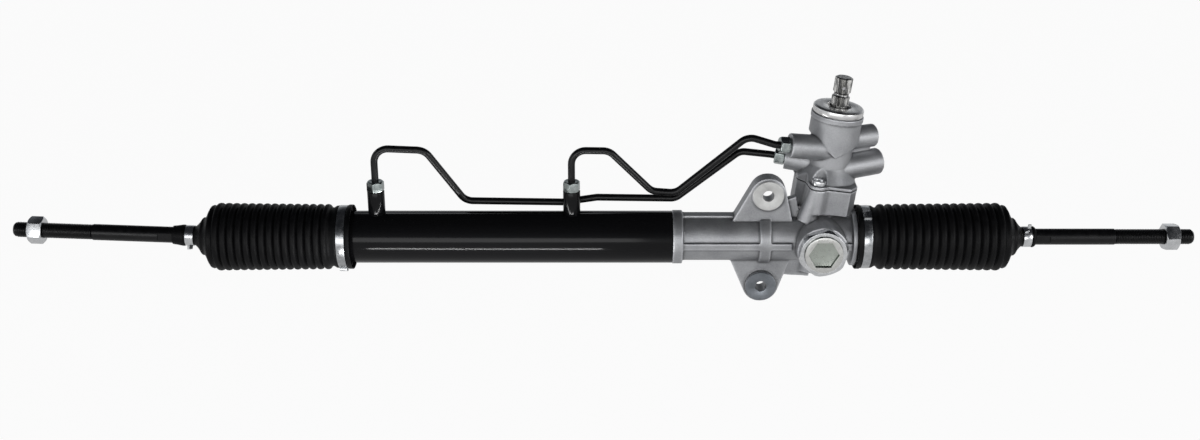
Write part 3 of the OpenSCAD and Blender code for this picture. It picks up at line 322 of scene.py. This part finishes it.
materials = {
    "cast_aluminium": makeCastAluminium(),
    "machined_aluminium": makeMachinedAluminium(),
    "black_paint": makeBlackPaint(),
    "black_satin": makeSatinBlack(),
    "zinc_plate": makeZinc("zincPlate", (0.60, 0.61, 0.62), (0.76, 0.77, 0.78)),
    "bright_steel": makeSteel("brightSteel", (0.40, 0.395, 0.385), (0.60, 0.595, 0.585), (0.16, 0.28)),
    "hard_steel": makeSteel("hardSteel", (0.36, 0.36, 0.37), (0.52, 0.52, 0.53), (0.18, 0.30)),
    "spring_steel": makeSteel("springSteel", (0.18, 0.18, 0.19), (0.30, 0.30, 0.31), (0.28, 0.42)),
    "bronze": makeSteel("sinteredBronze", (0.38, 0.25, 0.12), (0.58, 0.40, 0.22), (0.35, 0.5), 700),
    "bellows_rubber": makeRubber("bellowsRubber", (0.0016, 0.0016, 0.0020), (0.0034, 0.0034, 0.0040),
                                 (0.46, 0.60)),
    "seal_rubber": makeRubber("sealRubber", (0.02, 0.02, 0.02), (0.04, 0.04, 0.04), (0.5, 0.65)),
    "seal_ptfe": makePlastic("filledPtfe", (0.12, 0.08, 0.05), (0.20, 0.14, 0.09)),
    "seat_plastic": makePlastic("acetal", (0.66, 0.64, 0.56), (0.76, 0.74, 0.66)),
}

# finishes of single pieces, in place of their slot's
darkSteel = makeSteel("darkSteelBush", (0.17, 0.185, 0.20), (0.25, 0.265, 0.29), (0.30, 0.42), 90)
paleFace = makeSteel("paleCastFace", (0.50, 0.50, 0.49), (0.62, 0.62, 0.61), (0.48, 0.60), 120)
agedZinc = makeZinc("agedZinc", (0.26, 0.295, 0.29), (0.46, 0.50, 0.49))
bandZinc = makeZinc("bandZinc", (0.36, 0.37, 0.38), (0.56, 0.57, 0.58))
splineSteel = makeSplineSteel()
plugSteelPaintedShade = makePlugSteel()

nodeSlot = {part["node"]: part["material_slot"] for part in frame["record"]["subparts"]}

def paint(piece, material):
    piece.data.materials.clear()
    piece.data.materials.append(material)

for node, piece in frame["nodes"].items():
    paint(piece, materials[nodeSlot[node]])
paint(frame["nodes"]["input_shaft"], splineSteel)
print("materials made:", len(bpy.data.materials))


# helpers for modelling
def pick(piece):
    bpy.ops.object.select_all(action="DESELECT")
    piece.select_set(True)
    bpy.context.view_layer.objects.active = piece

def applyModifier(piece, kind, **settings):
    pick(piece)
    modifier = piece.modifiers.new(kind.lower(), kind)
    for key, value in settings.items():
        setattr(modifier, key, value)
    bpy.ops.object.modifier_apply(modifier=modifier.name)

def settle(piece, place):
    piece.data.transform(place)
    piece.data.update()

def finishPiece(piece, body, slot, nodes=(), material=None):
    paint(piece, material or materials[slot])
    if body:
        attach(piece, body)
    if nodes:
        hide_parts(*nodes)

# a merged copy of a CAD node's mesh; its flat faces are joined and cut again, so that a bevel keeps their holes
def copyNode(node, name):
    piece = bpy.data.objects.new(name, frame["nodes"][node].data.copy())
    bpy.context.collection.objects.link(piece)
    pick(piece)
    if piece.data.has_custom_normals:
        bpy.ops.mesh.customdata_custom_splitnormals_clear()
    bpy.ops.object.mode_set(mode="EDIT")
    bpy.ops.mesh.select_all(action="SELECT")
    bpy.ops.mesh.remove_doubles(threshold=0.000004)
    bpy.ops.mesh.dissolve_limited(angle_limit=math.radians(0.5))
    bpy.ops.mesh.quads_convert_to_tris(quad_method="BEAUTY", ngon_method="BEAUTY")
    bpy.ops.object.mode_set(mode="OBJECT")
    return piece

# a profile of (x, radius) points turned about the X axis
def turnPiece(name, profile, steps, closed=False):
    bpy.ops.mesh.primitive_plane_add(size=0.001)
    piece = bpy.context.object
    piece.name = name
    pick(piece)
    bpy.ops.object.mode_set(mode="EDIT")
    bpy.ops.mesh.select_mode(type="VERT")
    bpy.ops.mesh.select_all(action="SELECT")
    bpy.ops.mesh.merge(type="CENTER")
    bpy.ops.transform.translate(value=(profile[0][0], 0, profile[0][1]))
    for (x0, r0), (x1, r1) in zip(profile, profile[1:]):
        bpy.ops.mesh.extrude_vertices_move(TRANSFORM_OT_translate={"value": (x1 - x0, 0, r1 - r0)})
    if closed:
        bpy.ops.mesh.extrude_vertices_move(TRANSFORM_OT_translate={
            "value": (profile[0][0] - profile[-1][0], 0, profile[0][1] - profile[-1][1])})
    bpy.ops.mesh.select_all(action="SELECT")
    bpy.ops.mesh.spin(steps=steps, angle=2 * math.pi, center=(0, 0, 0), axis=(1, 0, 0))
    bpy.ops.mesh.select_all(action="SELECT")
    bpy.ops.mesh.remove_doubles(threshold=0.000002)
    bpy.ops.mesh.normals_make_consistent(inside=False)
    bpy.ops.object.mode_set(mode="OBJECT")
    return piece

def smoothShade(piece, angle):
    pick(piece)
    bpy.ops.object.shade_smooth_by_angle(angle=math.radians(angle))


# castings: the solids' own shape, with the soft corners of a casting
castings = [
    {"node": "gear_housing", "name": "gearHousingCasting", "voxel": 0.00100, "rounds": 5},
    {"node": "valve_body", "name": "valveBodyCasting", "voxel": 0.00075, "rounds": 6},
]

def makeCasting(casting):
    piece = copyNode(casting["node"], casting["name"])
    pick(piece)
    piece.data.remesh_voxel_size = casting["voxel"]
    piece.data.remesh_voxel_adaptivity = 0
    bpy.ops.object.voxel_remesh()
    applyModifier(piece, "SMOOTH", factor=0.5, iterations=casting["rounds"])
    bpy.ops.object.shade_smooth()
    finishPiece(piece, "casing", "cast_aluminium", [casting["node"]])
    print(casting["name"], len(piece.data.polygons), "faces")

for casting in castings:
    makeCasting(casting)


# turned, sheet and hexagon pieces keep the solids' shape and get broken edges
bevel = {"segments": 2, "fromAngle": 35, "shadeAngle": 32}
edgedPieces = [
    {"node": "cylinder_tube", "name": "cylinderTubePainted", "edge": 0.0006, "body": "casing"},
    {"node": "port_boss_left", "name": "weldedBossLeft", "edge": 0.0005, "body": "casing"},
    {"node": "port_boss_right", "name": "weldedBossRight", "edge": 0.0005, "body": "casing"},
    {"node": "valve_cover", "name": "valveCoverTurned", "edge": 0.0005, "body": "casing"},
    {"node": "valve_body_bolts", "name": "flangeBolts", "edge": 0.0004, "body": "casing"},
    {"node": "yoke_plug", "name": "yokePlugTurned", "edge": 0.0006, "body": "casing", "finish": plugSteelPaintedShade},
    {"node": "yoke_lock_nut", "name": "yokeNutTurned", "edge": 0.0006, "body": "casing"},
    {"node": "pinion_end_cap", "name": "pinionCapPressed", "edge": 0.0006, "body": "casing"},
    {"node": "cylinder_pipe_nuts", "name": "cylinderUnionNuts", "edge": 0.0004, "body": "casing",
     "finish": agedZinc},
    {"node": "valve_pipe_nuts", "name": "valveUnionNuts", "edge": 0.0004, "body": "casing", "finish": agedZinc},
    {"node": "large_clamp_left", "name": "largeBandLeft", "edge": 0.0002, "body": "casing", "finish": bandZinc},
    {"node": "large_clamp_right", "name": "largeBandRight", "edge": 0.0002, "body": "casing", "finish": bandZinc},
    {"node": "lock_nut_left", "name": "rodLockNutLeft", "edge": 0.0005, "body": "tie_rod_left"},
    {"node": "lock_nut_right", "name": "rodLockNutRight", "edge": 0.0005, "body": "tie_rod_right"},
    {"node": "small_clamp_left", "name": "smallBandLeft", "edge": 0.0002, "body": "tie_rod_left"},
    {"node": "small_clamp_right", "name": "smallBandRight", "edge": 0.0002, "body": "tie_rod_right"},
]

for item in edgedPieces:
    piece = copyNode(item["node"], item["name"])
    applyModifier(piece, "BEVEL", width=item["edge"], segments=bevel["segments"], limit_method="ANGLE",
                  angle_limit=math.radians(bevel["fromAngle"]), use_clamp_overlap=True)
    smoothShade(piece, bevel["shadeAngle"])
    finishPiece(piece, item["body"], nodeSlot[item["node"]], [item["node"]], item.get("finish"))
print("edged pieces made:", len(edgedPieces))


# bellows: measured from the ball centre, with the small end at positive x
bellows = {
    "foldStart": -0.0982, "folds": 15, "crest": 0.0312, "taper": 0.0012, "depth": 0.0026,
    "wall": 0.0011, "seamFold": 10, "steps": 112, "samples": 12, "blendStart": -0.0990, "bendLength": 0.0197,
    "neckAt": 0.0199,
    "cuff": [(-0.1179, 0.0292), (-0.1177, 0.0296), (-0.1143, 0.0296), (-0.1139, 0.0292),
             (-0.1136, 0.0284), (-0.1130, 0.0282), (-0.1060, 0.0282), (-0.1055, 0.0284),
             (-0.1051, 0.0288), (-0.1030, 0.0286), (-0.1000, 0.0268)],
    # the nose and the lip beyond the small band, measured from the last fold
    "nose": [(0.0012, 0.0284), (0.0027, 0.0292), (0.0041, 0.0287), (0.0057, 0.0262),
             (0.0079, 0.0216), (0.0097, 0.0186), (0.0111, 0.0174), (0.0125, 0.0174), (0.0135, 0.0166),
             (0.0154, 0.0136), (0.0179, 0.0106), (0.0199, 0.0090), (0.0209, 0.0087),
             (0.0287, 0.0087), (0.0293, 0.0090), (0.0296, 0.0096), (0.0302, 0.0098)],
    "left": {"foldEnd": 0.0071, "lip": [(0.0317, 0.0098), (0.0334, 0.0095), (0.0369, 0.0089),
                                        (0.0397, 0.0086), (0.0405, 0.0085)]},
    "right": {"foldEnd": 0.0151, "lip": [(0.0312, 0.0096), (0.0321, 0.0090), (0.0326, 0.0085)]},
}

def foldProfile(first, last, foldEnd):
    pitch = (foldEnd - bellows["foldStart"]) / bellows["folds"]
    points = []
    for i in range(first * bellows["samples"], last * bellows["samples"] + 1):
        turn = i / bellows["samples"]
        wave = abs(math.cos(math.pi * turn))
        valley = 0.28 * wave ** 2 + 0.72 * wave ** 9
        crest = bellows["crest"] - bellows["taper"] * (1 - turn / bellows["folds"])
        points.append((bellows["foldStart"] + turn * pitch, crest - bellows["depth"] * valley))
    return points

def bendNose(piece, angle, foldEnd):
    for vertex in piece.data.vertices:
        t = min(max((vertex.co.x - foldEnd) / bellows["bendLength"], 0), 1)
        weight = t * t * (3 - 2 * t)
        vertex.co = Matrix.Rotation(angle * weight, 3, "Y") @ vertex.co
    piece.data.update()

def makeBellows(side, place, lift):
    seam, folds, foldEnd = bellows["seamFold"], bellows["folds"], bellows[side]["foldEnd"]
    nose = [(foldEnd + x, radius) for x, radius in bellows["nose"] + bellows[side]["lip"]]
    parts = {
        "Main": bellows["cuff"] + foldProfile(0, seam, foldEnd),
        "Middle": foldProfile(seam, folds, foldEnd),
        "Nose": foldProfile(folds, folds, foldEnd) + nose,
    }
    for part, profile in parts.items():
        piece = turnPiece("bellows" + side.capitalize() + part, profile, bellows["steps"])
        applyModifier(piece, "SOLIDIFY", thickness=bellows["wall"], offset=-1, use_even_offset=False)
        if part == "Nose":
            bendNose(piece, lift, foldEnd)
        settle(piece, place)
        smoothShade(piece, 60)
        finishPiece(piece, None, "bellows_rubber", ["bellows_" + side])
        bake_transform(piece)

makeBellows("left", leftSocketPlace, leftRodLift)
makeBellows("right", rightPlace, 0)
print("bellows made")


# tie rods: a ball, a neck, a shank with two flats, and a rolled thread
tieRod = {
    "ball": 0.0125, "neck": 0.0064, "neckFrom": 0.0109, "neckTo": 0.0199, "shank": 0.0074, "shankFrom": 0.0231,
    "shankTo": 0.1208, "flat": 0.0065, "flatFrom": 0.0480, "flatTo": 0.0610, "flatStep": 0.0001,
    "core": 0.0064, "coreFrom": 0.1216, "coreTo": 0.1916, "tip": 0.0052, "length": 0.1930, "steps": 64,
    "crest": 0.0070, "pitch": 0.0015, "threadStart": 0.1210, "turns": 46, "threadSteps": 28, "sunk": 0.0002,
}

def makeTieRod(side, place):
    ball, neck, shank, core = (tieRod[key] for key in ("ball", "neck", "shank", "core"))
    angles = [math.radians(a) for a in range(0, 149, 6)]
    profile = [(-ball * math.cos(a), ball * math.sin(a)) for a in angles] + [
        (tieRod["neckFrom"], neck), (tieRod["neckTo"], neck), (tieRod["shankFrom"], shank),
        (tieRod["flatFrom"] - tieRod["flatStep"], shank), (tieRod["flatFrom"], shank),
        (tieRod["flatTo"], shank), (tieRod["flatTo"] + tieRod["flatStep"], shank),
        (tieRod["shankTo"], shank), (tieRod["coreFrom"], core), (tieRod["coreTo"], core),
        (tieRod["length"], tieRod["tip"]), (tieRod["length"], 0)]
    rod = turnPiece("tieRodShank" + side.capitalize(), profile, tieRod["steps"])
    margin = tieRod["flatStep"] / 2
    for vertex in rod.data.vertices:
        if tieRod["flatFrom"] - margin < vertex.co.x < tieRod["flatTo"] + margin:
            vertex.co.y = min(max(vertex.co.y, -tieRod["flat"]), tieRod["flat"])
    settle(rod, place)
    smoothShade(rod, 25)
    finishPiece(rod, "tie_rod_" + side, "black_satin", ["tie_rod_" + side])
    # the thread is one ridge wound along the core
    bpy.ops.mesh.primitive_circle_add(vertices=3, radius=0.0004, fill_type="NGON")
    thread = bpy.context.object
    thread.name = "tieRodThread" + side.capitalize()
    start, pitch, root = tieRod["threadStart"], tieRod["pitch"], core - tieRod["sunk"]
    corners = [(start, 0, root), (start + pitch * 0.9, 0, root), (start + pitch * 0.45, 0, tieRod["crest"])]
    for vertex, corner in zip(thread.data.vertices, corners):
        vertex.co = corner
    pick(thread)
    bpy.ops.object.mode_set(mode="EDIT")
    bpy.ops.mesh.select_all(action="SELECT")
    bpy.ops.mesh.delete(type="ONLY_FACE")
    bpy.ops.object.mode_set(mode="OBJECT")
    applyModifier(thread, "SCREW", axis="X", angle=2 * math.pi, screw_offset=pitch,
                  iterations=tieRod["turns"], steps=tieRod["threadSteps"], render_steps=tieRod["threadSteps"],
                  use_merge_vertices=False)
    bpy.ops.object.mode_set(mode="EDIT")
    bpy.ops.mesh.select_all(action="DESELECT")
    bpy.ops.mesh.select_mode(type="EDGE")
    bpy.ops.mesh.select_non_manifold()
    bpy.ops.mesh.fill()
    bpy.ops.mesh.select_all(action="SELECT")
    bpy.ops.mesh.normals_make_consistent(inside=False)
    bpy.ops.object.mode_set(mode="OBJECT")
    settle(thread, place)
    smoothShade(thread, 20)
    finishPiece(thread, "tie_rod_" + side, "black_satin")

makeTieRod("left", leftRodPlace)
makeTieRod("right", rightPlace)
print("tie rods made")


# fluid pipes: the solids' routes, swept round and smooth; corners in millimetres from the rack's line
pipes = {
    "diameter": 0.0065, "bend": 0.013, "bendSteps": 10, "roundness": 6,
    "left": [(-354, 0, 37), (-354, 0, 86), (-308, 0, 84), (-274, 13, 30.5), (-184, 14, 28.8),
             (-153, 14, 33.5), (-81, 14, 32.5), (-21.388, 30.167, 72.757), (5.981, 25.305, 71.397),
             (26.215, 21.711, 68.912)],
    "right": [(-176, 0, 37), (-176, 0, 84), (-142, 0, 83.5), (-103, 5, 43), (-81, 6, 41),
              (-17.895, -2.401, 97.967), (6.613, -1.490, 89.958), (26.906, 1.748, 87.466)],
}

def bendPoints(before, corner, after):
    radius, count = pipes["bend"], pipes["bendSteps"]
    u, w = (before - corner).normalized(), (after - corner).normalized()
    half = u.angle(w) / 2
    middle = corner + (u + w).normalized() * (radius / math.sin(half))
    first = corner + u * (radius / math.tan(half)) - middle
    last = corner + w * (radius / math.tan(half)) - middle
    turn = math.pi - 2 * half
    points = []
    for i in range(count + 1):
        share = i / count
        arm = math.sin((1 - share) * turn) * first + math.sin(share * turn) * last
        points.append(middle + arm / math.sin(turn))
    return points

def makePipe(side):
    corners = [Vector((x / 1000, y / 1000 + rackLineY, z / 1000)) for x, y, z in pipes[side]]
    route = [corners[0]]
    for before, corner, after in zip(corners, corners[1:], corners[2:]):
        route += bendPoints(before, corner, after)
    route.append(corners[-1])
    line = bpy.data.curves.new("pipeLine", "CURVE")
    line.dimensions = "3D"
    line.bevel_depth = pipes["diameter"] / 2
    line.bevel_resolution = pipes["roundness"]
    line.use_fill_caps = True
    spline = line.splines.new("POLY")
    spline.points.add(len(route) - 1)
    for point, place in zip(spline.points, route):
        point.co = (*place, 1)
    piece = bpy.data.objects.new("fluidPipe" + side.capitalize(), line)
    bpy.context.collection.objects.link(piece)
    pick(piece)
    bpy.ops.object.convert(target="MESH")
    smoothShade(piece, 40)
    finishPiece(piece, "casing", "black_satin", ["pipe_" + side])

makePipe("left")
makePipe("right")
print("pipes made")


# machined faces round the mounting holes
earFace = {"hole": 0.0052, "rim": 0.0141, "thick": 0.0030, "holeEdge": (0.0002, 0.0004),
           "rimEdge": (0.0004, 0.0005)}
earFaces = [
    {"name": "earFaceUpper", "place": (0.002, -0.0163, 0.044), "finish": paleFace},
    {"name": "earFaceLower", "place": (-0.002, -0.0190, -0.044), "finish": darkSteel},
]

def makeEarFace(face):
    hole, rim, thick = earFace["hole"], earFace["rim"], earFace["thick"]
    (holeDeep, holeWide), (rimDeep, rimWide) = earFace["holeEdge"], earFace["rimEdge"]
    profile = [(holeDeep, hole), (0, hole + holeWide), (0, rim - rimWide), (rimDeep, rim), (thick, rim),
               (thick, hole)]
    piece = turnPiece(face["name"], profile, 72, closed=True)
    settle(piece, Matrix.Translation(face["place"]) @ Matrix.Rotation(math.pi / 2, 4, "Z"))
    smoothShade(piece, 30)
    finishPiece(piece, "casing", "machined_aluminium", (), face["finish"])

for face in earFaces:
    makeEarFace(face)
print("machined faces made")


# pale floor, and a sky that is pale low down and dark overhead; the camera sees plain white
surroundings = {
    "size": 9, "middle": (-0.15, 0.5), "below": 0.0008, "paint": (0.9, 0.9, 0.9, 1), "roughness": 0.9,
    "specular": 0.1, "glowSeen": 0.955, "glowReflected": 0.50,
    "sky": [(0.05, (0.84, 0.86, 0.88)), (0.35, (0.20, 0.21, 0.225)), (0.65, (0.020, 0.021, 0.024))],
}

def makeFloor():
    low = cadBox[0][2] - surroundings["below"]
    bpy.ops.mesh.primitive_plane_add(size=surroundings["size"], location=(*surroundings["middle"], low))
    floor = bpy.context.object
    floor.name = "paleFloor"
    material = bpy.data.materials.new("paleFloorPaint")
    material.use_nodes = True
    tree = material.node_tree
    shader = tree.nodes["Principled BSDF"]
    shader.inputs["Base Color"].default_value = surroundings["paint"]
    shader.inputs["Roughness"].default_value = surroundings["roughness"]
    shader.inputs["Specular IOR Level"].default_value = surroundings["specular"]
    glow = tree.nodes.new("ShaderNodeEmission")
    rays = tree.nodes.new("ShaderNodeLightPath")
    blend = tree.nodes.new("ShaderNodeMixShader")
    seen = addMath(tree, "MULTIPLY", rays.outputs["Is Camera Ray"], surroundings["glowSeen"])
    reflected = addMath(tree, "MULTIPLY", rays.outputs["Is Glossy Ray"], surroundings["glowReflected"])
    tree.links.new(addMath(tree, "MAXIMUM", seen, reflected), blend.inputs["Fac"])
    tree.links.new(shader.outputs["BSDF"], blend.inputs[1])
    tree.links.new(glow.outputs["Emission"], blend.inputs[2])
    tree.links.new(blend.outputs["Shader"], tree.nodes["Material Output"].inputs["Surface"])
    paint(floor, material)

def makeSky():
    world = bpy.data.worlds.new("studioWorld")
    bpy.context.scene.world = world
    world.use_nodes = True
    tree = world.node_tree
    height = tree.nodes.new("ShaderNodeSeparateXYZ")
    tree.links.new(tree.nodes.new("ShaderNodeTexCoord").outputs["Generated"], height.inputs["Vector"])
    sky = addRamp(tree, height.outputs["Z"], surroundings["sky"])
    rays = tree.nodes.new("ShaderNodeLightPath")
    seen = addMath(tree, "MAXIMUM", rays.outputs["Is Camera Ray"], rays.outputs["Is Transmission Ray"])
    colour = tree.nodes.new("ShaderNodeMix")
    colour.data_type = "RGBA"
    tree.links.new(seen, colour.inputs["Factor"])
    tree.links.new(sky, colour.inputs["A"])
    colour.inputs["B"].default_value = (1, 1, 1, 1)
    tree.links.new(colour.outputs["Result"], tree.nodes["Background"].inputs["Color"])

makeFloor()
makeSky()
print("surroundings made")
